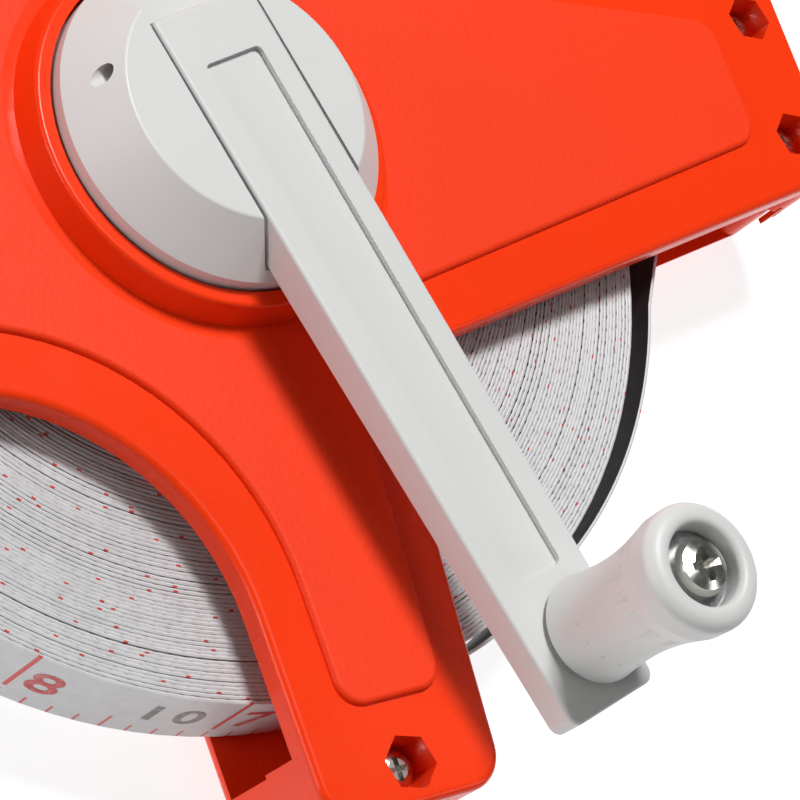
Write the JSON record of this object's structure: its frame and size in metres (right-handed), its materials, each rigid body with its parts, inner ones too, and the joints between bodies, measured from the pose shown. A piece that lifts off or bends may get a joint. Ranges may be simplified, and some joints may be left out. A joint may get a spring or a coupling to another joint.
{
  "type": "surveyor tape reel",
  "caption": "Open-frame long tape reel with a folding winding crank, a hand grip and a steel end eye, lying on its back.",
  "frame": {"origin": "the point where the reel's axis meets the flat back that the reel lies on", "axes": "+Z along the reel's axis, out of the crank side; +X along the arm that the tape leaves by; +Y towards the hand grip"},
  "size_m": [0.2265, 0.2182, 0.0603],
  "materials": {
    "frame_plastic": "satin orange-red, fine spark grain on the raised panels",
    "crank_plastic": "satin light grey",
    "screw_zinc": "bright zinc plate",
    "pin_steel": "plain steel",
    "washer_nylon": "grey nylon",
    "drum_plastic": "black moulded",
    "tape": "white coated glass-fibre tape with printed ticks",
    "end_steel": "stamped stainless steel"
  },
  "bodies": {
    "frame": {"front_frame": "frame_plastic", "back_frame": "frame_plastic", "frame_screws": "screw_zinc", "hub_screw": "screw_zinc", "hub_washer": "pin_steel", "thrust_washer": "washer_nylon", "tape_lead": "tape", "end_clip": "end_steel", "end_rivets": "end_steel", "end_pin": "end_steel"},
    "reel": {"crank_disc": "crank_plastic", "drum_core": "drum_plastic", "drum_screws": "screw_zinc", "tape_roll": "tape", "tape_anchor_peg": "pin_steel", "hinge_pin": "pin_steel"},
    "crank": {"crank_arm": "crank_plastic", "knob_screw": "screw_zinc", "knob_washer": "washer_nylon"},
    "knob": {"crank_knob": "crank_plastic"},
    "lower_roller": {"mouth_roller_lower": "washer_nylon"},
    "upper_roller": {"mouth_roller_upper": "washer_nylon"},
    "eye": {"end_eye": "end_steel"}
  },
  "joints": [
    {"name": "reel_spin", "type": "hinge", "parent": "frame", "child": "reel", "pos_m": [0, 0, 0.018], "axis": [0, 0, 1], "continuous": true},
    {"name": "crank_fold", "type": "hinge", "parent": "reel", "child": "crank", "pos_m": [-0.0021, 0.00896, 0.0345], "axis": [-0.9736, -0.2284, 0], "range_deg": [0, 180]},
    {"name": "knob_spin", "type": "hinge", "parent": "crank", "child": "knob", "pos_m": [0.02019, -0.07251, 0.048], "axis": [0, 0, 1], "continuous": true},
    {"name": "lower_roller_spin", "type": "hinge", "parent": "frame", "child": "lower_roller", "pos_m": [0.087, -0.0046, 0.0109], "axis": [0, 0, 1], "continuous": true},
    {"name": "upper_roller_spin", "type": "hinge", "parent": "frame", "child": "upper_roller", "pos_m": [0.087, 0.0046, 0.0109], "axis": [0, 0, 1], "continuous": true},
    {"name": "eye_swing", "type": "hinge", "parent": "frame", "child": "eye", "pos_m": [0.1185, 0, 0.0109], "axis": [0, 0, 1], "range_deg": [-90, 90]}
  ]
}
